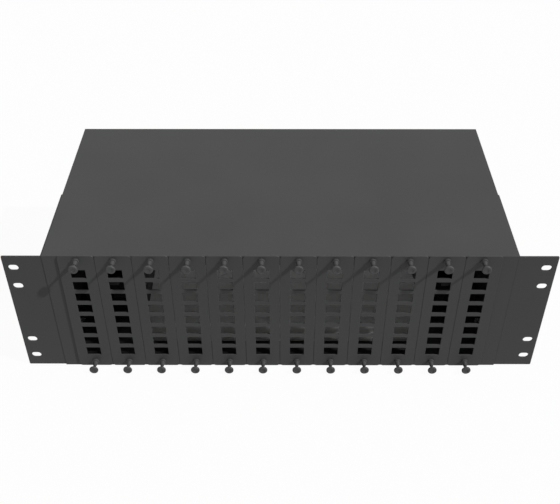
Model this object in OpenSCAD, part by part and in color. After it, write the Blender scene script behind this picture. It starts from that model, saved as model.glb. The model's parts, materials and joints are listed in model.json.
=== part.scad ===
// Fibre patch panel for a 19 inch rack, three units high, with twelve adapter plates.
// Origin: centre of the rack ears' slots, on the ears' rear faces. +X right, +Y to the rear, +Z up.

/* [Case] */
// Height of the case with its cover
case_h = 132.4; // [126:0.1:136]
// Depth of the case from its front face to the cover's rear skirt
case_d = 218; // [205:1:300]
// Thickness of the case, frame, cover and rear panel sheets
sheet = 1.2; // [1:0.1:1.5]
// Inner radius of the sheets' bends
bend_r = 0.8; // [0.5:0.1:1.5]
// Width of the inward flanges along the tops of the side walls
wall_flange = 12; // [10:0.5:18]

/* [Rack ears] */
// Overall width across both rack ears
ears_w = 482.6; // [440:0.2:490]
// Width of an ear's flange beside the case
ear_flange = 35.2; // [30:0.1:38]
// Distance from the case's lower and upper faces to the ears' ends
ear_inset = 0.7; // [0:0.1:1]
// Thickness of the ear brackets
ear_t = 1.2; // [1:0.1:2]
// Length of each ear's leg along the case, behind its front flange
ear_leg = 94; // [80:1:120]
// Radius of the ears' corners
ear_corner_r = 1; // [0.5:0.1:3]
// Outer radius of the ears' sharp bends
ear_bend_r = 0.4; // [0.2:0.1:0.8]
// Distance from an ear's outer edge to the middle of its slots
slot_edge = 8.75; // [8:0.05:10]
// Distance from an ear's ends to its outer slots
slot_end = 12.4; // [8:0.1:16]
// Distance from an outer slot to the inner slot beside it
slot_step = 20.6; // [15:0.1:25]
// Length of a slot from end to end
slot_l = 9; // [8:0.1:10]
// Height of a slot
slot_h = 6; // [5.6:0.1:6.8]
// How far the case's front face stands ahead of the ears'
ear_setback = 0.4; // [0.2:0.1:2]

/* [Front frame] */
// Height of the frame's upper and lower rails
rail_h = 9.8; // [9:0.1:11]
// Depth of the returns bent back from the frame's edges
frame_return = 14; // [13:0.5:15]
// How far the window's sides lie inside the outermost plates' edges
window_inset = 4; // [2:0.5:8]

/* [Adapter plates] */
// Number of adapter plates side by side
plate_count = 12; // [4:1:12]
// Width of the frame's side strips that the plates leave free
side_strip = 13.38; // [12:0.02:20]
// Gap between neighbouring plates
plate_gap = 0.3; // [0.3:0.1:1]
// Thickness of an adapter plate
plate_t = 1.2; // [1:0.1:2]
// Distance from the case's lower face to a plate's lower end
plate_margin = 0.5; // [0:0.05:1]
// How far a plate's upper end stands above the cover
plate_rise = 0.8; // [0:0.1:1]
// Radius of a plate's corners
plate_corner_r = 3; // [1:0.1:3.5]
// Number of adapter cut-outs in a plate
cutout_count = 8; // [6:1:8]
// Distance from the case's lower and upper faces to the column of cut-outs
cutout_end = 12.7; // [11:0.1:14]
// Width of a cut-out
cutout_w = 13.2; // [13:0.1:14]
// Height of a cut-out
cutout_h = 9.4; // [9.2:0.1:9.8]

/* [Plungers] */
// Distance from the frame's upper return to the holes of the upper plungers
plunger_margin = 0.1; // [0.1:0.05:0.6]
// Diameter of the plunger's knob
knob_d = 8.3; // [7.6:0.1:8.6]
// Thickness of the knob
knob_t = 2; // [1.6:0.1:3]
// How far a plunger is pushed in to lock
plunger_stroke = 4.1; // [3:0.1:6]
// Diameter of the plunger's stem
stem_d = 2.2; // [2:0.1:2.4]
// Diameter of the plunger's barbed tip
barb_d = 2.9; // [2.8:0.1:3]
// Length of the tip
barb_l = 5; // [4:0.1:6]
// Diameter of the grommet's flange
collar_d = 6.4; // [6:0.1:6.8]
// Thickness of the grommet's flange
collar_t = 2; // [1:0.1:2.4]
// Length of the grommet's tapered nose ahead of its flange
nose_l = 4.4; // [3:0.1:5]
// Diameter of the nose at its end
nose_d = 3.2; // [3.2:0.1:3.8]
// Diameter of the grommet's split sleeve
sleeve_d = 3.8; // [3.8:0.1:4.4]
// How far the sleeve reaches behind the frame
sleeve_l = 4; // [3:0.1:5]

/* [Rear panel] */
// Depth of the flanges bent forward from the rear panel's edges
rear_return = 12; // [11:0.5:18]
// Height of the rear panel's sill, below its window
sill_h = 54; // [52:1:90]
// Width of the rear panel's posts, beside its window
post_w = 20; // [14:1:60]
// Radius of the rear window's corners
rear_corner_r = 4; // [1:0.5:8]
// Diameter of a cable entry's hole
entry_d = 34; // [28:0.5:38]
// Distance of the cable entries from the middle
entry_x = 150; // [120:1:165]
// Height of the cable entries above the case's lower face
entry_z = 27; // [25:1:28]
// Bore of the rubber grommet in a cable entry
grommet_bore = 22; // [16:0.5:24]
// Diameter of the rubber grommet
grommet_d = 42; // [40:0.5:44]
// Thickness of the rubber on each side of the panel
grommet_lip = 3; // [2:0.1:4]

/* [Splice tray] */
// Height of the splice tray with its lid
tray_h = 21.3; // [16:0.1:30]
// Thickness of the tray's walls, floor and lid
tray_wall = 1.8; // [1.5:0.1:2.5]
// Radius of the tray's corners
tray_corner_r = 5; // [3:0.5:10]
// Distance from the case's front face to the tray
tray_setback = 32; // [28:0.5:45]
// Room between the tray and the cover's rear skirt
tray_back_room = 60; // [50:1:80]
// How far the tray lies to the right of the middle
tray_x = 3.4; // [-4:0.1:4]
// Width of a fibre entry in the tray's rear wall
tray_entry_w = 16; // [10:0.5:24]
// Radius of the tray's two winding hubs
hub_r = 30; // [25:0.5:34]
// Gap between a splice holder's ends and the hubs
holder_gap = 3.2; // [2:0.1:10]
// Width of a splice holder
holder_w = 24; // [20:1:32]
// Height of a splice holder
holder_h = 6; // [4:0.5:8]
// Number of grooves in a splice holder
holder_grooves = 6; // [4:1:6]

/* [Slack spools] */
// Distance from the case's front face to a spool's axis
spool_setback = 118; // [80:1:150]
// Radius of a spool's drum
spool_r = 24; // [20:0.5:25]
// Radius of a spool's upper rim
spool_rim_r = 29; // [27:0.5:29.5]
// Gap between a spool's rim and what stands beside it
spool_gap = 4.4; // [2:0.1:8]
// Height of a spool
spool_h = 24; // [18:0.5:40]
// Wall of a spool
spool_wall = 2; // [1.5:0.1:3]

/* [Screws] */
// Diameter of an ear screw
ear_screw_d = 4; // [3.5:0.1:4.5]
// Length of an ear screw under its head
ear_screw_l = 12; // [8:0.5:14]
// Diameter of an ear screw's head
ear_head_d = 8; // [7:0.1:8.5]
// Thickness of an ear screw's head
ear_head_t = 2.4; // [1.8:0.1:3]
// Distance from the ear's mating face to the front column of ear screws
ear_screw_front = 22; // [20:0.1:26]
// Distance from the ear's mating face to the rear column of ear screws
ear_screw_rear = 50.8; // [40:0.1:70]
// Distance of the ear screws from the case's lower and upper faces
ear_screw_inset = 10.3; // [9.5:0.1:16]
// Diameter of a clinch nut
nut_d = 7; // [6.5:0.1:7.6]
// Thickness of a clinch nut
nut_t = 2.4; // [2:0.1:3]
// Diameter of a case screw
case_screw_d = 3; // [2.5:0.1:3.5]
// Length of a case screw under its head
case_screw_l = 6; // [5:0.5:8]
// Diameter of a case screw's head
case_head_d = 5.6; // [5:0.1:6.4]
// Thickness of a case screw's head
case_head_t = 1.8; // [1.4:0.1:2.4]
// Length of a floor screw with its head
floor_screw_l = 8; // [6:0.5:9]
// Diameter of a countersunk floor screw's head
floor_head_d = 5.6; // [5:0.1:6.2]

/* [Clearances] */
// Radial gap between a plunger and its grommet
running_gap = 0.1; // [0.05:0.01:0.1]
// Radial gap around screws and fixed sleeves in their holes
hole_gap = 0.2; // [0.1:0.05:0.4]
// Gap between sheets that slide past each other when fitted
sheet_gap = 0.3; // [0.2:0.05:0.5]

/* [Hidden] */
// Cuts run this far past the faces they open
overrun = 1;
// Heights and places that follow from the sizes above, +Z up from the case's middle
bottom_z = -case_h / 2;
top_z = case_h / 2;
cover_z = top_z - sheet;
floor_z = bottom_z + sheet;
case_w = ears_w - 2 * ear_flange;
case_side = case_w / 2;
wall_in = case_side - sheet;
ear_h = case_h - 2 * ear_inset;
slot_span_x = ears_w - 2 * slot_edge;
slot_span_outer = ear_h - 2 * slot_end;
slot_span_inner = slot_span_outer - 2 * slot_step;
frame_front = -ear_t - ear_setback;
frame_back = frame_front + sheet;
plate_front = frame_front - plate_t;
case_back = frame_front + case_d;
panel_back = case_back - sheet;
panel_front = panel_back - sheet;
plates_half = case_side - side_strip;
plate_pitch = 2 * plates_half / plate_count;
plate_w = plate_pitch - plate_gap;
plate_h = case_h + plate_rise - plate_margin;
plate_mid_z = (plate_rise + plate_margin) / 2;
cutout_pitch = (case_h - 2 * cutout_end) / cutout_count;
window_w = 2 * (plates_half - window_inset);
window_h = case_h - 2 * rail_h;
// Corner radius of the frame's window, as a share of a rail's height
window_corner_share = 0.2;
// The plunger's hole, the step that holds its barb, and its bores
sleeve_hole_d = sleeve_d + 2 * hole_gap;
plunger_inset = plate_rise + 2 * sheet + plunger_margin + sleeve_hole_d / 2;
stem_bore_d = stem_d + 2 * running_gap;
barb_bore_d = barb_d + 2 * running_gap;
nose_front = collar_t + nose_l;
knob_reach = nose_front + sheet_gap + plunger_stroke + knob_t;
barb_step = collar_t / 2;
sleeve_back = plate_t + sheet + sleeve_l;
// Width of the slots that split a sleeve, as a share of its diameter
sleeve_slit_share = 0.16;
// Rounding of a knob's rim, as a share of its thickness
knob_round_share = 0.35;
// Dimple in the knob's face, as shares of its diameter and thickness
dimple_d_share = 0.45;
dimple_t_share = 0.15;
// Barb's point, as shares of its diameter and length
barb_point_d_share = 0.4;
barb_point_l_share = 0.4;
// Recess in a pan head, as shares of the head's diameter and thickness
recess_d_share = 0.5;
recess_w_share = 0.16;
recess_t_share = 0.55;
// Rounding of a pan head's rim, as a share of its thickness
head_round_share = 0.5;
// Bosses that take the floor screws, their diameter as a share of the screws'
boss_d_share = 2.4;
boss_d = boss_d_share * case_screw_d;
boss_h = floor_screw_l + sheet;
spool_x = wall_in - spool_gap - spool_rim_r;
spool_y = frame_front + spool_setback;
tray_w = 2 * (spool_x - spool_rim_r - spool_gap - abs(tray_x));
tray_d = case_d - tray_setback - tray_back_room;
tray_front = frame_front + tray_setback;
tray_mid_y = tray_front + tray_d / 2;
lid_z = floor_z + tray_h - tray_wall;
// Places of the winding hubs, the fibre entries and the splice holders, as shares
// of the tray's width, the tray's width and a holder's width
hub_x_share = 0.2345;
tray_entry_x_share = 0.33;
holder_y_share = 0.75;
groove_floor_share = 0.33;
hub_x = hub_x_share * tray_w;
hub_h = tray_h - tray_wall - sheet_gap;
holder_l = 2 * (hub_x - hub_r - holder_gap);
tray_screw_x = tray_w / 2 - boss_d;
tray_screw_y = tray_d / 2 - boss_d;
floor_bore_h = floor_screw_l - sheet + overrun + hole_gap;
// Places of the rear panel's side screws and of the cover's skirt screws, as shares
// of the panel's height and of the case's width
rear_screw_z_share = 0.3;
skirt_screw_x_share = 0.38;
skirt_h = rear_return;
// Cover hooks, as shares of the case's width and of the frame's return
hook_w_share = 0.12;
hook_x_share = 0.25;
hook_l_share = 0.2;
hook_w = hook_w_share * case_w;
hook_x = hook_x_share * case_w;
hook_l = hook_l_share * frame_return;
hook_back = frame_back + frame_return + sheet_gap;
outer_bend = bend_r + sheet;

PLATE_NODES = [for (i = [1:plate_count]) str("adapter_plate_", two_digits(i))];
TOP_PLUNGER_NODES = [for (i = [1:plate_count]) str("plunger_", two_digits(i), "_top")];
BOTTOM_PLUNGER_NODES = [for (i = [1:plate_count]) str("plunger_", two_digits(i), "_bottom")];

function two_digits(i) = i < 10 ? str("0", i) : str(i);
function plate_x(i) = (i - (plate_count + 1) / 2) * plate_pitch;
function cutout_z(k) = (k - (cutout_count - 1) / 2) * cutout_pitch;
function plunger_z(level) = plate_mid_z + level * (plate_h / 2 - plunger_inset);

// Flat shapes

module rounded_rect(w, h, r) {
    square([w - 2 * r, h], center = true);
    square([w, h - 2 * r], center = true);
    for (sx = [-1, 1], sz = [-1, 1])
        translate([sx * (w / 2 - r), sz * (h / 2 - r)]) circle(r, $fn = 32);
}

module obround(l, h) {
    square([l - h, h], center = true);
    for (sx = [-1, 1])
        translate([sx * (l - h) / 2, 0]) circle(h / 2, $fn = 48);
}

// Drawn in X and Z, and extruded along Y from y0
module along_y(y0, length) {
    translate([0, y0 + length, 0]) rotate([90, 0, 0]) linear_extrude(length) children();
}

// Drawn as radius and distance ahead of the plates' face, and turned about a plunger's axis
module about_plunger(x, z) {
    translate([x, plate_front, z]) rotate([90, 0, 0]) rotate_extrude($fn = 48) children();
}

module round_along_y(x, z, y0, length, d) {
    translate([x, y0 + length, z]) rotate([90, 0, 0]) cylinder(h = length, d = d, $fn = 48);
}

// Places of the screws, each with its part drawn at the origin, head outwards along +X or +Z

module at_ear_screws(side) {
    for (y = [ear_screw_front, ear_screw_rear], sz = [-1, 1])
        translate([side * case_side, y, sz * (case_h / 2 - ear_screw_inset)])
            rotate([0, 90 * side, 0]) children();
}

module at_rear_side_screws(side) {
    for (sz = [-1, 1])
        translate([side * case_side, panel_front - rear_return / 2, sz * rear_screw_z_share * case_h])
            rotate([0, 90 * side, 0]) children();
}

module at_skirt_screws() {
    for (sx = [-1, 0, 1])
        translate([sx * skirt_screw_x_share * case_w, case_back, cover_z - skirt_h / 2])
            rotate([-90, 0, 0]) children();
}

module at_floor_screws() {
    for (sx = [-1, 1], sy = [-1, 1])
        translate([tray_x + sx * tray_screw_x, tray_mid_y + sy * tray_screw_y, bottom_z]) children();
    for (sx = [-1, 1])
        translate([sx * spool_x, spool_y, bottom_z]) children();
}

// Fasteners

module pan_head_screw(d, length, head_d, head_t) {
    round_r = head_round_share * head_t;
    recess = [recess_d_share * head_d, recess_w_share * head_d, 2 * recess_t_share * head_t];
    difference() {
        rotate_extrude($fn = 48) {
            translate([0, -length]) square([d / 2, length]);
            square([head_d / 2, head_t - round_r]);
            square([head_d / 2 - round_r, head_t]);
            translate([head_d / 2 - round_r, head_t - round_r]) circle(round_r, $fn = 32);
        }
        for (turn = [0, 90])
            rotate([0, 0, turn]) translate([0, 0, head_t]) cube(recess, center = true);
    }
}

// Flush with the case's lower face, pointing up
module countersunk_screw() {
    head_h = (floor_head_d - case_screw_d) / 2;
    difference() {
        rotate_extrude($fn = 48)
            polygon([[0, 0], [floor_head_d / 2, 0], [case_screw_d / 2, head_h],
                [case_screw_d / 2, floor_screw_l], [0, floor_screw_l]]);
        for (turn = [0, 90])
            rotate([0, 0, turn])
                cube([recess_d_share * floor_head_d, recess_w_share * floor_head_d, head_h], center = true);
    }
}

module floor_screw_hole() {
    head_h = (floor_head_d - case_screw_d) / 2;
    translate([0, 0, -overrun]) cylinder(h = sheet + 2 * overrun, d = case_screw_d + 2 * hole_gap, $fn = 48);
    rotate_extrude($fn = 48)
        polygon([[0, -overrun], [floor_head_d / 2 + hole_gap, -overrun], [floor_head_d / 2 + hole_gap, 0],
            [case_screw_d / 2 + hole_gap, head_h], [0, head_h]]);
}

// The case

module case_profile() {
    difference() {
        translate([0, (bottom_z + cover_z) / 2])
            rounded_rect(case_w, cover_z - bottom_z, outer_bend);
        translate([0, (bottom_z + cover_z) / 2])
            rounded_rect(case_w - 2 * sheet, cover_z - bottom_z - 2 * sheet, bend_r);
        translate([-case_side + wall_flange, cover_z - sheet - overrun])
            square([case_w - 2 * wall_flange, sheet + 2 * overrun]);
    }
}

module case_base() {
    color("#3d3d3d") difference() {
        along_y(frame_back, panel_back - frame_back) case_profile();
        for (side = [-1, 1]) {
            at_ear_screws(side)
                translate([0, 0, -sheet - overrun])
                    cylinder(h = sheet + 2 * overrun, d = ear_screw_d + 2 * hole_gap, $fn = 48);
            at_rear_side_screws(side)
                translate([0, 0, -sheet - overrun])
                    cylinder(h = sheet + 2 * overrun, d = case_screw_d + 2 * hole_gap, $fn = 48);
        }
        at_floor_screws() floor_screw_hole();
    }
}

module frame_face() {
    difference() {
        translate([0, (bottom_z + cover_z) / 2]) square([case_w, cover_z - bottom_z], center = true);
        rounded_rect(window_w, window_h, window_corner_share * rail_h);
        for (i = [1:plate_count], level = [-1, 1])
            translate([plate_x(i), plunger_z(level)]) circle(d = sleeve_hole_d, $fn = 48);
    }
}

module front_frame() {
    return_w = case_w - 2 * (wall_flange + sheet_gap);
    side_h = case_h - 4 * sheet - 2 * outer_bend;
    color("#424242") {
        along_y(frame_front, sheet) frame_face();
        // Upper return, between the side walls' flanges
        translate([-return_w / 2, frame_back, cover_z - sheet]) cube([return_w, frame_return, sheet]);
        // Lower return, on the floor
        translate([-wall_in + outer_bend, frame_back, floor_z])
            cube([2 * (wall_in - outer_bend), frame_return, sheet]);
        // Side returns, against the side walls, ahead of the front ear nuts
        for (side = [-1, 1])
            translate([side * (wall_in - sheet / 2) - sheet / 2, frame_back, -side_h / 2])
                cube([sheet, frame_return, side_h]);
    }
}

module top_cover() {
    color("#525252") difference() {
        union() {
            translate([-case_side, frame_front, cover_z]) cube([case_w, case_d, sheet]);
            // Rear skirt, behind the rear panel
            translate([-case_side, panel_back, cover_z - skirt_h]) cube([case_w, sheet, skirt_h]);
            // Hooks that pass behind the frame's upper return and run forward under it
            for (sx = [-1, 1])
                translate([sx * hook_x - hook_w / 2, 0, 0]) {
                    translate([0, hook_back, cover_z - 2 * sheet - sheet_gap])
                        cube([hook_w, sheet, 2 * sheet + sheet_gap]);
                    translate([0, hook_back - hook_l, cover_z - 2 * sheet - sheet_gap])
                        cube([hook_w, hook_l, sheet]);
                }
        }
        at_skirt_screws() translate([0, 0, -sheet - overrun])
            cylinder(h = sheet + 2 * overrun, d = case_screw_d + 2 * hole_gap, $fn = 48);
    }
}

module rear_panel() {
    face_w = 2 * (wall_in - sheet_gap);
    face_h = cover_z - floor_z - sheet_gap;
    side_z = floor_z + outer_bend;
    side_h = cover_z - sheet - sheet_gap - side_z;
    return_w = case_w - 2 * (wall_flange + outer_bend + sheet_gap);
    cut_l = sheet + 2 * overrun;
    sill_z = bottom_z + sill_h;
    rear_window_top = cover_z - skirt_h;
    color("#424242") difference() {
        union() {
            translate([-case_side + wall_flange + sheet_gap, panel_front, floor_z])
                cube([case_w - 2 * (wall_flange + sheet_gap), sheet, face_h]);
            translate([-face_w / 2, panel_front, side_z]) cube([face_w, sheet, side_h]);
            // Flanges bent forward: lower, on the floor, and one at each side
            translate([-return_w / 2, panel_front - rear_return, floor_z])
                cube([return_w, rear_return + sheet, sheet]);
            for (side = [-1, 1])
                translate([side * (face_w - sheet) / 2 - sheet / 2, panel_front - rear_return, side_z])
                    cube([sheet, rear_return + sheet, side_h]);
        }
        // The window above the sill, up to the cover's rear skirt
        along_y(panel_front - overrun, cut_l) translate([0, (sill_z + rear_window_top) / 2])
            rounded_rect(face_w - 2 * post_w, rear_window_top - sill_z, rear_corner_r);
        for (side = [-1, 1]) {
            round_along_y(side * entry_x, bottom_z + entry_z, panel_front - overrun, cut_l, entry_d);
            at_rear_side_screws(side) translate([0, 0, -2 * sheet - sheet_gap - overrun])
                cylinder(h = cut_l, d = case_screw_d + 2 * running_gap, $fn = 48);
        }
        at_skirt_screws() translate([0, 0, -2 * sheet - overrun])
            cylinder(h = cut_l, d = case_screw_d + 2 * running_gap, $fn = 48);
    }
}

module cable_grommets() {
    round_r = grommet_lip / 2;
    color("#1c1c1c") for (side = [-1, 1])
        translate([side * entry_x, panel_front, bottom_z + entry_z]) rotate([-90, 0, 0])
            rotate_extrude($fn = 64) {
                // The waist that sits in the panel's hole
                translate([grommet_bore / 2, 0]) square([(entry_d - grommet_bore) / 2 - hole_gap, sheet]);
                for (lip_z = [-grommet_lip, sheet]) {
                    translate([grommet_bore / 2, lip_z])
                        square([(grommet_d - grommet_bore) / 2 - round_r, grommet_lip]);
                    translate([grommet_d / 2 - round_r, lip_z + round_r]) circle(round_r, $fn = 32);
                }
            }
}

// The rack ears

module ear_profile() {
    translate([case_side + ear_bend_r, -ear_t]) square([ears_w / 2 - case_side - ear_bend_r, ear_t]);
    translate([case_side, ear_bend_r - ear_t]) square([ear_t, ear_leg + ear_t - ear_bend_r]);
    translate([case_side + ear_bend_r, ear_bend_r - ear_t]) circle(ear_bend_r, $fn = 32);
}

module rack_ear(side) {
    color("#424242") mirror([side < 0 ? 1 : 0, 0, 0]) difference() {
        intersection() {
            translate([0, 0, -ear_h / 2]) linear_extrude(ear_h) ear_profile();
            along_y(-ear_t, ear_leg + ear_t) rounded_rect(ears_w, ear_h, ear_corner_r);
        }
        for (span = [slot_span_outer, slot_span_inner], sz = [-1, 1])
            translate([slot_span_x / 2, 0, sz * span / 2])
                along_y(-ear_t - overrun, ear_t + 2 * overrun) obround(slot_l, slot_h);
        at_ear_screws(1) translate([0, 0, -overrun])
            cylinder(h = ear_t + 2 * overrun, d = ear_screw_d + 2 * hole_gap, $fn = 48);
    }
}

module ear_screws() {
    color("#b9bcc0") for (side = [-1, 1])
        at_ear_screws(side) translate([0, 0, ear_t])
            pan_head_screw(ear_screw_d, ear_screw_l, ear_head_d, ear_head_t);
}

module ear_nuts() {
    color("#b9bcc0") for (side = [-1, 1])
        at_ear_screws(side) translate([0, 0, -sheet - nut_t]) difference() {
            cylinder(h = nut_t, d = nut_d, $fn = 48);
            translate([0, 0, -overrun])
                cylinder(h = nut_t + 2 * overrun, d = ear_screw_d + 2 * running_gap, $fn = 48);
        }
}

module case_screws() {
    color("#303030") {
        for (side = [-1, 1])
            at_rear_side_screws(side) pan_head_screw(case_screw_d, case_screw_l, case_head_d, case_head_t);
        at_skirt_screws() pan_head_screw(case_screw_d, case_screw_l, case_head_d, case_head_t);
    }
}

module floor_screws() {
    color("#b9bcc0") at_floor_screws() countersunk_screw();
}

// The adapter plates and their fasteners

module adapter_plate(i) {
    color("#424242") translate([plate_x(i), 0, 0]) along_y(plate_front, plate_t) difference() {
        translate([0, plate_mid_z]) rounded_rect(plate_w, plate_h, plate_corner_r);
        for (k = [0:cutout_count - 1])
            translate([0, cutout_z(k)]) square([cutout_w, cutout_h], center = true);
        for (level = [-1, 1])
            translate([0, plunger_z(level)]) circle(d = sleeve_hole_d, $fn = 48);
    }
}

module plunger_grommet(x, z) {
    difference() {
        about_plunger(x, z) difference() {
            polygon([[0, -sleeve_back], [sleeve_d / 2, -sleeve_back], [sleeve_d / 2, 0], [collar_d / 2, 0],
                [collar_d / 2, collar_t], [(collar_d + nose_d) / 4, collar_t], [nose_d / 2, nose_front],
                [0, nose_front]]);
            translate([0, barb_step]) square([stem_bore_d / 2, nose_front]);
            translate([0, -sleeve_back - overrun])
                square([barb_bore_d / 2, sleeve_back + overrun + barb_step]);
        }
        // The slots that split the sleeve behind the frame into four legs
        for (turn = [45, 135])
            translate([x, plate_front + plate_t + sheet, z]) rotate([0, turn, 0])
                translate([-sleeve_d, 0, -sleeve_slit_share * sleeve_d / 2])
                    cube([2 * sleeve_d, sleeve_l + overrun, sleeve_slit_share * sleeve_d]);
    }
}

module upper_grommets() {
    color("#4a4a4a") for (i = [1:plate_count]) plunger_grommet(plate_x(i), plunger_z(1));
}

module lower_grommets() {
    color("#4a4a4a") for (i = [1:plate_count]) plunger_grommet(plate_x(i), plunger_z(-1));
}

module plunger(i, level) {
    round_r = knob_round_share * knob_t;
    knob_back = knob_reach - knob_t;
    barb_front = barb_step - hole_gap;
    point_l = barb_point_l_share * barb_l;
    color("#4e4e4e") about_plunger(plate_x(i), plunger_z(level)) difference() {
        union() {
            translate([0, barb_front - overrun]) square([stem_d / 2, knob_back - barb_front + 2 * overrun]);
            translate([0, knob_back]) square([knob_d / 2 - round_r, knob_t]);
            translate([0, knob_back + round_r]) square([knob_d / 2, knob_t - 2 * round_r]);
            for (rim_y = [knob_back + round_r, knob_reach - round_r])
                translate([knob_d / 2 - round_r, rim_y]) circle(round_r, $fn = 32);
            polygon([[0, barb_front - barb_l], [barb_point_d_share * barb_d / 2, barb_front - barb_l],
                [barb_d / 2, barb_front - barb_l + point_l], [barb_d / 2, barb_front], [0, barb_front]]);
        }
        // A dimple in the knob's face
        translate([0, knob_reach - dimple_t_share * knob_t])
            square([dimple_d_share * knob_d / 2, knob_t]);
    }
}

// The splice tray and the slack spools

module tray_outline(inset) {
    rounded_rect(tray_w - 2 * inset, tray_d - 2 * inset, tray_corner_r - inset);
}

module splice_tray() {
    wall_h = lid_z - floor_z;
    color("#a9a9a7") difference() {
        translate([tray_x, tray_mid_y, floor_z]) {
            difference() {
                linear_extrude(wall_h) tray_outline(0);
                translate([0, 0, tray_wall]) linear_extrude(wall_h) tray_outline(tray_wall);
                for (sx = [-1, 1])
                    translate([sx * tray_entry_x_share * tray_w, tray_d / 2, tray_wall + wall_h / 2])
                        cube([tray_entry_w, 4 * tray_wall, wall_h], center = true);
            }
            // Winding hubs
            for (sx = [-1, 1])
                translate([sx * hub_x, 0, 0]) difference() {
                    cylinder(h = hub_h, r = hub_r, $fn = 96);
                    translate([0, 0, tray_wall]) cylinder(h = hub_h, r = hub_r - tray_wall, $fn = 96);
                }
            // Bosses for the floor screws
            for (sx = [-1, 1], sy = [-1, 1])
                translate([sx * tray_screw_x, sy * tray_screw_y, 0])
                    cylinder(h = boss_h, d = boss_d, $fn = 48);
        }
        at_floor_screws() translate([0, 0, sheet - overrun])
            cylinder(h = floor_bore_h, d = case_screw_d + 2 * running_gap, $fn = 48);
    }
}

module splice_tray_lid() {
    color("#c9c9c7") translate([tray_x, tray_mid_y, lid_z]) linear_extrude(tray_wall) tray_outline(0);
}

module splice_holders() {
    groove_w = holder_w / (2 * holder_grooves + 1);
    color("#3a6ea5") for (sy = [-1, 1])
        translate([tray_x, tray_mid_y + sy * holder_y_share * holder_w, floor_z + tray_wall]) difference() {
            translate([-holder_l / 2, -holder_w / 2, 0]) cube([holder_l, holder_w, holder_h]);
            for (k = [0:holder_grooves - 1])
                translate([-holder_l / 2 - overrun, -holder_w / 2 + (2 * k + 1) * groove_w,
                    groove_floor_share * holder_h])
                    cube([holder_l + 2 * overrun, groove_w, holder_h]);
        }
}

module slack_spool(side) {
    finger_w = spool_r / 2;
    color("#2a2a2a") translate([side * spool_x, spool_y, floor_z]) difference() {
        union() {
            difference() {
                cylinder(h = spool_h, r = spool_r, $fn = 96);
                translate([0, 0, spool_wall]) cylinder(h = spool_h, r = spool_r - spool_wall, $fn = 96);
            }
            // The base's rim, and four fingers that keep the slack on the drum
            cylinder(h = spool_wall, r = spool_rim_r, $fn = 96);
            translate([0, 0, spool_h - spool_wall]) intersection() {
                difference() {
                    cylinder(h = spool_wall, r = spool_rim_r, $fn = 96);
                    translate([0, 0, -overrun])
                        cylinder(h = spool_wall + 2 * overrun, r = spool_r - spool_wall, $fn = 96);
                }
                for (turn = [0, 90])
                    rotate([0, 0, turn]) translate([-spool_rim_r, -finger_w / 2, 0])
                        cube([2 * spool_rim_r, finger_w, spool_wall]);
            }
            cylinder(h = boss_h, d = boss_d, $fn = 48);
        }
        translate([0, 0, -overrun])
            cylinder(h = floor_bore_h, d = case_screw_d + 2 * running_gap, $fn = 48);
    }
}

case_base();
front_frame();
top_cover();
rear_panel();
cable_grommets();
rack_ear(-1);  // rack_ear_left
rack_ear(1);  // rack_ear_right
ear_screws();
ear_nuts();
case_screws();
floor_screws();
splice_tray();
splice_tray_lid();
splice_holders();
slack_spool(-1);  // slack_spool_left
slack_spool(1);  // slack_spool_right
upper_grommets();
lower_grommets();
for (i = [1:plate_count]) adapter_plate(i);
for (i = [1:plate_count]) plunger(i, 1);
for (i = [1:plate_count]) plunger(i, -1);
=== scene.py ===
"""Finishes, camera, floor and light for the fibre patch panel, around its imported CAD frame."""

import json
import math

import bpy
from mathutils import Matrix, Vector


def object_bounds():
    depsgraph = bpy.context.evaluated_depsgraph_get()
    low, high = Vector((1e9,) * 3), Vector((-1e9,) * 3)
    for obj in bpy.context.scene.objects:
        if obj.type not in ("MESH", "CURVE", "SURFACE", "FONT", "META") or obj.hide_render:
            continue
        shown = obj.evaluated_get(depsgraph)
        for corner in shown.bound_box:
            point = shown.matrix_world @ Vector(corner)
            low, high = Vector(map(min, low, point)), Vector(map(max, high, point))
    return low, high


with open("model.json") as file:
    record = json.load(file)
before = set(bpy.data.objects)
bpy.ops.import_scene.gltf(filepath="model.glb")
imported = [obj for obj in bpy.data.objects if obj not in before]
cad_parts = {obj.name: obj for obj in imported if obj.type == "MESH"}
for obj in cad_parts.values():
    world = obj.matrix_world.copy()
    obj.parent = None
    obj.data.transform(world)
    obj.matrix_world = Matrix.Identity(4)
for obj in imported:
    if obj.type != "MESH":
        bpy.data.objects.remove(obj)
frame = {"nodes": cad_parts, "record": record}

CAD_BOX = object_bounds()

# Image frame that the camera is fitted to, in pixels
IMAGE_W = 560
IMAGE_H = 504

# Camera: its place in metres, its turns in degrees, its focal length and the height
# of its optical axis in pixels of the image frame
CAMERA_AT = (0.00175, -0.57518, 0.51320)
CAMERA_PITCH = 41.522
CAMERA_YAW = -0.164
CAMERA_ROLL = 0.040
FOCAL_PX = 842.57
AXIS_ROW = 309.18
SENSOR_MM = 36.0
CLIP_NEAR = 0.01
CLIP_FAR = 20.0

# Light: the way to the key light, how wide it looks in degrees, and the strengths
KEY_WAY = (0.665, -0.255, 0.701)
KEY_WIDTH = 1.5
KEY_STRENGTH = 4.3
AMBIENT_STRENGTH = 0.46

MM = 0.001

# Floor: its half width in metres, its gap under the part, its surface, and how much of
# the camera's view of it is plain white
FLOOR_HALF = 3.0
FLOOR_GAP = 0.1 * MM
FLOOR_COLOR = (0.45, 0.45, 0.45, 1.0)
FLOOR_ROUGHNESS = 0.9
FLOOR_SPECULAR = 0.1
FLOOR_WHITE_SHARE = 0.96
WHITE_STRENGTH = 1.0

# The case's inside in millimetres, where the coat carries painted shade, darker than its own colour:
# half its width, its front, its back, its lower end, and what the painted shade there keeps of its
# lightness
INSIDE_HALF_W = 205.3
INSIDE_FRONT = 0.2
INSIDE_BACK = 214.6
INSIDE_BOTTOM = -65.4
INSIDE_SHADE_SHARE = 0.25

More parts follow.
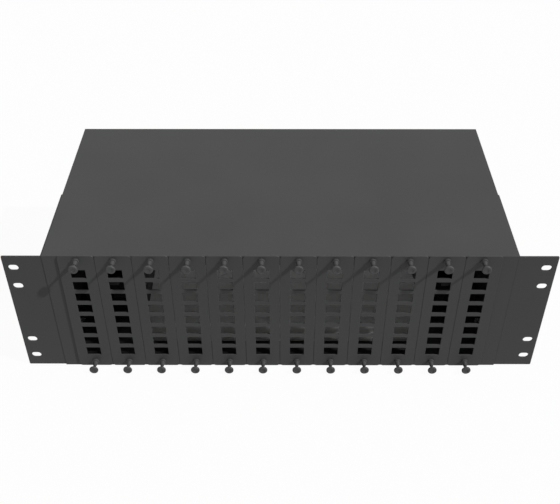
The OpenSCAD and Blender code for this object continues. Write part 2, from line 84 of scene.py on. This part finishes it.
# Edges in the finishes: samples of the rounded normal, and the cosine between it and the
# flat normal where an edge begins and where it is full
EDGE_SAMPLES = 6
EDGE_BEGINS = 0.995
EDGE_FULL = 0.72

# Powder coat: radius of its edges, and the depth of its orange peel. Then the scales of
# its patterns per metre, and how far they change its lightness and its roughness
COAT_EDGE = 0.45 * MM
COAT_PEEL_DEPTH = 0.05 * MM
COAT_PEEL = 1400.0
COAT_CLOUDS = 14.0
COAT_GRAIN = 5200.0
# Patches along the edges carry a painted highlight: their scale, the shares of the noise they span,
# how much lighter the edges are painted, and how much smoother they are
COAT_EDGE_PATCHES = 90.0
COAT_EDGE_PATCH_SHARES = (0.25, 0.6)
COAT_TINT = 0.05
COAT_EDGE_HIGHLIGHT = 0.55
COAT_EDGE_SMOOTHING = 0.12
COAT_ROUGH_SPREAD = 0.04

# Moulded plastic: the same for its edges, its spark texture and its flow clouds, and a painted
# highlight on its edges
PLASTIC_EDGE = 0.3 * MM
PLASTIC_SPARK_DEPTH = 0.03 * MM
PLASTIC_SPARK = 2600.0
PLASTIC_FLOW = 40.0
PLASTIC_FLOW_STRETCH = (1.0, 1.0, 2.5)
PLASTIC_TINT = 0.04
PLASTIC_EDGE_HIGHLIGHT = 0.12
PLASTIC_ROUGH_SPREAD = 0.05

# Rubber: the same for its edges, its pores and its dusty bloom, and a painted highlight on its edges
RUBBER_EDGE = 0.4 * MM
RUBBER_PORE_DEPTH = 0.04 * MM
RUBBER_PORES = 3000.0
RUBBER_BLOOM = 160.0
RUBBER_BLOOM_TINTS = (0.85, 1.35)
RUBBER_EDGE_HIGHLIGHT = 0.1
RUBBER_ROUGH_DOWN = 0.06
RUBBER_ROUGH_UP = 0.05
RUBBER_SPECULAR = 0.3

# Plated steel: the same for its edges, its turning marks and its faint spots, and a painted highlight
# on its edges
STEEL_EDGE = 0.15 * MM
STEEL_MARK_DEPTH = 0.012 * MM
STEEL_MARKS = 2400.0
STEEL_MARK_STRETCH = (6.0, 1.0, 1.0)
STEEL_SPOTS = 420.0
STEEL_TINT = 0.08
STEEL_EDGE_HIGHLIGHT = 0.15
STEEL_ROUGH_DOWN = 0.07
STEEL_ROUGH_UP = 0.09

# Colours, linear. The front and the sides share a coat colour, and the cover's is painted lighter, a
# painted light that stands in for the stronger light on the top
FRONT_BLACK = (0.0367, 0.0367, 0.0371)
COVER_PAINTED_LIT_BLACK = (0.0497, 0.0497, 0.0501)
PLUNGER_BLACK = (0.041, 0.041, 0.042)
RUBBER_BLACK = (0.022, 0.022, 0.022)
SCREW_BLACK = (0.045, 0.045, 0.048)
SPOOL_BLACK = (0.028, 0.028, 0.029)
ZINC_BRIGHT = (0.62, 0.63, 0.65)
# Painted shade: the tray is a darker grey than the lid, standing in for the shade on its front face.
TRAY_SHADED_GREY = (0.45, 0.45, 0.44)
LID_GREY = (0.58, 0.58, 0.57)
HOLDER_GREY = (0.34, 0.34, 0.35)


def place_camera():
    """The camera looks along +Y and down. Its frame is shifted so the optical axis meets AXIS_ROW."""
    data = bpy.data.cameras.new("photo_camera")
    data.sensor_fit = "HORIZONTAL"
    data.sensor_width = SENSOR_MM
    data.lens = FOCAL_PX / IMAGE_W * SENSOR_MM
    data.shift_y = (AXIS_ROW - IMAGE_H / 2) / IMAGE_W
    data.clip_start = CLIP_NEAR
    data.clip_end = CLIP_FAR
    camera = bpy.data.objects.new("photo_camera", data)
    turn = (
        Matrix.Rotation(math.radians(-CAMERA_YAW), 4, "Z")
        @ Matrix.Rotation(math.radians(90 - CAMERA_PITCH), 4, "X")
        @ Matrix.Rotation(math.radians(-CAMERA_ROLL), 4, "Z")
    )
    camera.matrix_world = Matrix.Translation(CAMERA_AT) @ turn
    bpy.context.collection.objects.link(camera)
    bpy.context.scene.camera = camera


class Finish:
    """A node material with one Principled shader, and short calls for the nodes that feed it."""

    def __init__(self, name, color, roughness, metallic=0.0, specular=0.5):
        self.material = bpy.data.materials.new(name)
        self.material.use_nodes = True
        self.tree = self.material.node_tree
        self.shader = self.tree.nodes["Principled BSDF"]
        self.color = color
        self.shader.inputs["Base Color"].default_value = (*color, 1.0)
        self.shader.inputs["Roughness"].default_value = roughness
        self.shader.inputs["Metallic"].default_value = metallic
        self.shader.inputs["Specular IOR Level"].default_value = specular
        self.where = self.node("ShaderNodeTexCoord").outputs["Object"]

    def node(self, kind):
        return self.tree.nodes.new(kind)

    def link(self, source, target):
        self.tree.links.new(source, target)

    def noise(self, scale, detail=3.0, stretch=(1.0, 1.0, 1.0)):
        """Noise whose features are about 1/scale metres across, and finer where stretch is over 1."""
        mapping = self.node("ShaderNodeMapping")
        mapping.inputs["Scale"].default_value = stretch
        self.link(self.where, mapping.inputs["Vector"])
        noise = self.node("ShaderNodeTexNoise")
        noise.inputs["Scale"].default_value = scale
        noise.inputs["Detail"].default_value = detail
        self.link(mapping.outputs["Vector"], noise.inputs["Vector"])
        return noise.outputs["Fac"]

    def ramp(self, source, low, high, start=0.3, end=0.7):
        """A number that goes from low to high as source goes from start to end."""
        span = self.node("ShaderNodeMapRange")
        span.inputs["From Min"].default_value = start
        span.inputs["From Max"].default_value = end
        span.inputs["To Min"].default_value = low
        span.inputs["To Max"].default_value = high
        self.link(source, span.inputs["Value"])
        return span.outputs["Result"]

    def math(self, operation, first, second):
        step = self.node("ShaderNodeMath")
        step.operation = operation
        for value, socket in zip((first, second), step.inputs):
            if isinstance(value, (int, float)):
                socket.default_value = value
            else:
                self.link(value, socket)
        return step.outputs["Value"]

    def edges(self, radius):
        """Rounded normal, and a share that is 0 on flat faces and rises to 1 at a square edge."""
        bevel = self.node("ShaderNodeBevel")
        bevel.samples = EDGE_SAMPLES
        bevel.inputs["Radius"].default_value = radius
        geometry = self.node("ShaderNodeNewGeometry")
        dot = self.node("ShaderNodeVectorMath")
        dot.operation = "DOT_PRODUCT"
        self.link(bevel.outputs["Normal"], dot.inputs[0])
        self.link(geometry.outputs["Normal"], dot.inputs[1])
        share = self.ramp(dot.outputs["Value"], 1.0, 0.0, EDGE_FULL, EDGE_BEGINS)
        return bevel.outputs["Normal"], share

    def bump(self, height, depth, normal):
        node = self.node("ShaderNodeBump")
        node.inputs["Distance"].default_value = depth
        self.link(height, node.inputs["Height"])
        self.link(normal, node.inputs["Normal"])
        return node.outputs["Normal"]

    def tint(self, amount, source):
        """A number around 1 that source moves by amount either way."""
        return self.ramp(source, 1.0 - amount, 1.0 + amount)

    def inside(self):
        """1 on surfaces inside the case, and 0 outside."""
        place = self.node("ShaderNodeSeparateXYZ")
        self.link(self.where, place.inputs["Vector"])
        off_middle = self.math("ABSOLUTE", place.outputs["X"], 0.0)
        across = self.math("LESS_THAN", off_middle, INSIDE_HALF_W * MM)
        behind = self.math("GREATER_THAN", place.outputs["Y"], INSIDE_FRONT * MM)
        before = self.math("LESS_THAN", place.outputs["Y"], INSIDE_BACK * MM)
        above = self.math("GREATER_THAN", place.outputs["Z"], INSIDE_BOTTOM * MM)
        deep = self.math("MULTIPLY", behind, before)
        return self.math("MULTIPLY", self.math("MULTIPLY", across, deep), above)

    def finish(self, factor, roughness, normal):
        """The colour times factor, the roughness and the normal go to the shader."""
        scale = self.node("ShaderNodeVectorMath")
        scale.operation = "SCALE"
        scale.inputs[0].default_value = self.color
        self.link(factor, scale.inputs["Scale"])
        self.link(scale.outputs["Vector"], self.shader.inputs["Base Color"])
        self.link(roughness, self.shader.inputs["Roughness"])
        self.link(normal, self.shader.inputs["Normal"])
        return self.material


def powder_coat(name, color, roughness, specular, shade_inside=False):
    """Satin powder coat on sheet steel: orange peel, faint clouds, and a painted highlight on its
    edges in patches, where it is also a little smoother.
    """
    coat = Finish(name, color, roughness, specular=specular)
    normal, edge = coat.edges(COAT_EDGE)
    peel = coat.noise(COAT_PEEL, detail=2.0)
    clouds = coat.noise(COAT_CLOUDS, detail=4.0)
    grain = coat.noise(COAT_GRAIN, detail=1.0)
    # Painted highlight: the edges are painted lighter, in patches.
    highlit_edge = coat.math("MULTIPLY", edge, coat.ramp(coat.noise(COAT_EDGE_PATCHES), *COAT_EDGE_PATCH_SHARES))
    factor = coat.math("ADD", coat.tint(COAT_TINT, clouds),
                       coat.math("MULTIPLY", highlit_edge, COAT_EDGE_HIGHLIGHT))
    factor = coat.math("MULTIPLY", factor, coat.tint(COAT_TINT, grain))
    # Painted shade: surfaces inside the case are painted darker than the coat's colour.
    if shade_inside:
        inside_shade = coat.ramp(coat.inside(), 1.0, INSIDE_SHADE_SHARE, 0.0, 1.0)
        factor = coat.math("MULTIPLY", factor, inside_shade)
    rough = coat.ramp(clouds, roughness - COAT_ROUGH_SPREAD, roughness + COAT_ROUGH_SPREAD)
    rough = coat.math("SUBTRACT", rough, coat.math("MULTIPLY", highlit_edge, COAT_EDGE_SMOOTHING))
    return coat.finish(factor, rough, coat.bump(peel, COAT_PEEL_DEPTH, normal))


def moulded_plastic(name, color, roughness, specular=0.5):
    """Injection moulded plastic: fine spark texture, slow flow clouds, and softened edges with a
    painted highlight.
    """
    plastic = Finish(name, color, roughness, specular=specular)
    normal, edge = plastic.edges(PLASTIC_EDGE)
    spark = plastic.noise(PLASTIC_SPARK, detail=2.0)
    flow = plastic.noise(PLASTIC_FLOW, detail=3.0, stretch=PLASTIC_FLOW_STRETCH)
    # Painted highlight: the edges are painted lighter.
    factor = plastic.math("ADD", plastic.tint(PLASTIC_TINT, flow),
                          plastic.math("MULTIPLY", edge, PLASTIC_EDGE_HIGHLIGHT))
    rough = plastic.ramp(flow, roughness - PLASTIC_ROUGH_SPREAD, roughness + PLASTIC_ROUGH_SPREAD)
    return plastic.finish(factor, rough, plastic.bump(spark, PLASTIC_SPARK_DEPTH, normal))


def soft_rubber(name, color, roughness):
    """Grommet rubber: matte, with a dusty bloom in patches and a painted highlight on its edges."""
    rubber = Finish(name, color, roughness, specular=RUBBER_SPECULAR)
    normal, edge = rubber.edges(RUBBER_EDGE)
    bloom = rubber.noise(RUBBER_BLOOM, detail=5.0)
    pores = rubber.noise(RUBBER_PORES, detail=2.0)
    # Painted highlight: the edges are painted lighter.
    factor = rubber.math("ADD", rubber.ramp(bloom, *RUBBER_BLOOM_TINTS),
                         rubber.math("MULTIPLY", edge, RUBBER_EDGE_HIGHLIGHT))
    rough = rubber.ramp(bloom, roughness - RUBBER_ROUGH_DOWN, roughness + RUBBER_ROUGH_UP)
    return rubber.finish(factor, rough, rubber.bump(pores, RUBBER_PORE_DEPTH, normal))


def plated_steel(name, color, roughness, metallic=1.0):
    """Turned and plated steel: fine turning marks, faint spots, and a painted highlight on its edges.
    """
    steel = Finish(name, color, roughness, metallic=metallic)
    normal, edge = steel.edges(STEEL_EDGE)
    marks = steel.noise(STEEL_MARKS, detail=2.0, stretch=STEEL_MARK_STRETCH)
    spots = steel.noise(STEEL_SPOTS, detail=4.0)
    # Painted highlight: the edges are painted lighter.
    factor = steel.math("ADD", steel.tint(STEEL_TINT, spots),
                        steel.math("MULTIPLY", edge, STEEL_EDGE_HIGHLIGHT))
    rough = steel.ramp(spots, roughness - STEEL_ROUGH_DOWN, roughness + STEEL_ROUGH_UP)
    return steel.finish(factor, rough, steel.bump(marks, STEEL_MARK_DEPTH, normal))


FINISHES = {
    # The case's coat carries painted shade inside the case.
    "case_coat": powder_coat("case_coat", FRONT_BLACK, 0.55, 0.22, shade_inside=True),
    # The cover's coat colour carries painted light: it is lighter than the front's for the stronger
    # light on the top.
    "cover_coat": powder_coat("cover_coat", COVER_PAINTED_LIT_BLACK, 0.6, 0.06),
    "ear_coat": powder_coat("ear_coat", FRONT_BLACK, 0.55, 0.22),
    "plate_coat": powder_coat("plate_coat", FRONT_BLACK, 0.55, 0.22),
    "plunger_plastic": moulded_plastic("plunger_plastic", PLUNGER_BLACK, 0.5, 0.25),
    "grommet_plastic": moulded_plastic("grommet_plastic", PLUNGER_BLACK, 0.5, 0.25),
    "entry_rubber": soft_rubber("entry_rubber", RUBBER_BLACK, 0.72),
    "zinc": plated_steel("zinc", ZINC_BRIGHT, 0.30),
    "black_screw": plated_steel("black_screw", SCREW_BLACK, 0.38, metallic=0.6),
    "tray_plastic": moulded_plastic("tray_plastic", TRAY_SHADED_GREY, 0.5),
    "lid_plastic": moulded_plastic("lid_plastic", LID_GREY, 0.48),
    "holder_plastic": moulded_plastic("holder_plastic", HOLDER_GREY, 0.45),
    "spool_plastic": moulded_plastic("spool_plastic", SPOOL_BLACK, 0.5),
}


def dress_nodes():
    """Each CAD node keeps its shape and takes the finish of its slot in the record."""
    for subpart in frame["record"]["subparts"]:
        piece = frame["nodes"][subpart["node"]]
        for slot in piece.material_slots:
            slot.material = FINISHES[subpart["material_slot"]]


def seen_directly(tree):
    """1 for camera, glossy and transmission rays, and 0 for the rays that light things."""
    path = tree.nodes.new("ShaderNodeLightPath")
    total = path.outputs["Is Camera Ray"]
    for name in ("Is Glossy Ray", "Is Transmission Ray"):
        step = tree.nodes.new("ShaderNodeMath")
        step.operation = "MAXIMUM"
        tree.links.new(total, step.inputs[0])
        tree.links.new(path.outputs[name], step.inputs[1])
        total = step.outputs["Value"]
    return total


def make_floor():
    """A pale floor under the part that catches its bounce light and looks almost plain white."""
    bottom = CAD_BOX[0][2] - FLOOR_GAP
    mesh = bpy.data.meshes.new("floor")
    signs = ((-1, -1), (1, -1), (1, 1), (-1, 1))
    corners = [(sx * FLOOR_HALF, sy * FLOOR_HALF, bottom) for sx, sy in signs]
    mesh.from_pydata(corners, [], [(0, 1, 2, 3)])
    floor = bpy.data.objects.new("floor", mesh)
    bpy.context.collection.objects.link(floor)
    material = bpy.data.materials.new("floor_white")
    material.use_nodes = True
    tree = material.node_tree
    shader = tree.nodes["Principled BSDF"]
    shader.inputs["Base Color"].default_value = FLOOR_COLOR
    shader.inputs["Roughness"].default_value = FLOOR_ROUGHNESS
    shader.inputs["Specular IOR Level"].default_value = FLOOR_SPECULAR
    glow = tree.nodes.new("ShaderNodeEmission")
    glow.inputs["Strength"].default_value = WHITE_STRENGTH
    share = tree.nodes.new("ShaderNodeMath")
    share.operation = "MULTIPLY"
    share.inputs[1].default_value = FLOOR_WHITE_SHARE
    tree.links.new(seen_directly(tree), share.inputs[0])
    mix = tree.nodes.new("ShaderNodeMixShader")
    tree.links.new(share.outputs["Value"], mix.inputs["Fac"])
    tree.links.new(shader.outputs["BSDF"], mix.inputs[1])
    tree.links.new(glow.outputs["Emission"], mix.inputs[2])
    tree.links.new(mix.outputs["Shader"], tree.nodes["Material Output"].inputs["Surface"])
    mesh.materials.append(material)


def light_world():
    """Even white light from all round, and plain white where the camera sees past the floor."""
    world = bpy.data.worlds.new("studio")
    world.use_nodes = True
    tree = world.node_tree
    background = tree.nodes["Background"]
    background.inputs["Color"].default_value = (1.0, 1.0, 1.0, 1.0)
    strength = tree.nodes.new("ShaderNodeMapRange")
    strength.inputs["To Min"].default_value = AMBIENT_STRENGTH
    strength.inputs["To Max"].default_value = WHITE_STRENGTH
    tree.links.new(seen_directly(tree), strength.inputs["Value"])
    tree.links.new(strength.outputs["Result"], background.inputs["Strength"])
    bpy.context.scene.world = world


def light_key():
    """A sun from the right, above and a little in front, which casts the plungers' shadows."""
    data = bpy.data.lights.new("key_light", "SUN")
    data.energy = KEY_STRENGTH
    data.angle = math.radians(KEY_WIDTH)
    lamp = bpy.data.objects.new("key_light", data)
    lamp.rotation_euler = Vector(KEY_WAY).to_track_quat("Z", "Y").to_euler()
    bpy.context.collection.objects.link(lamp)


place_camera()
dress_nodes()
make_floor()
light_world()
light_key()
bpy.context.scene.view_settings.view_transform = "Standard"
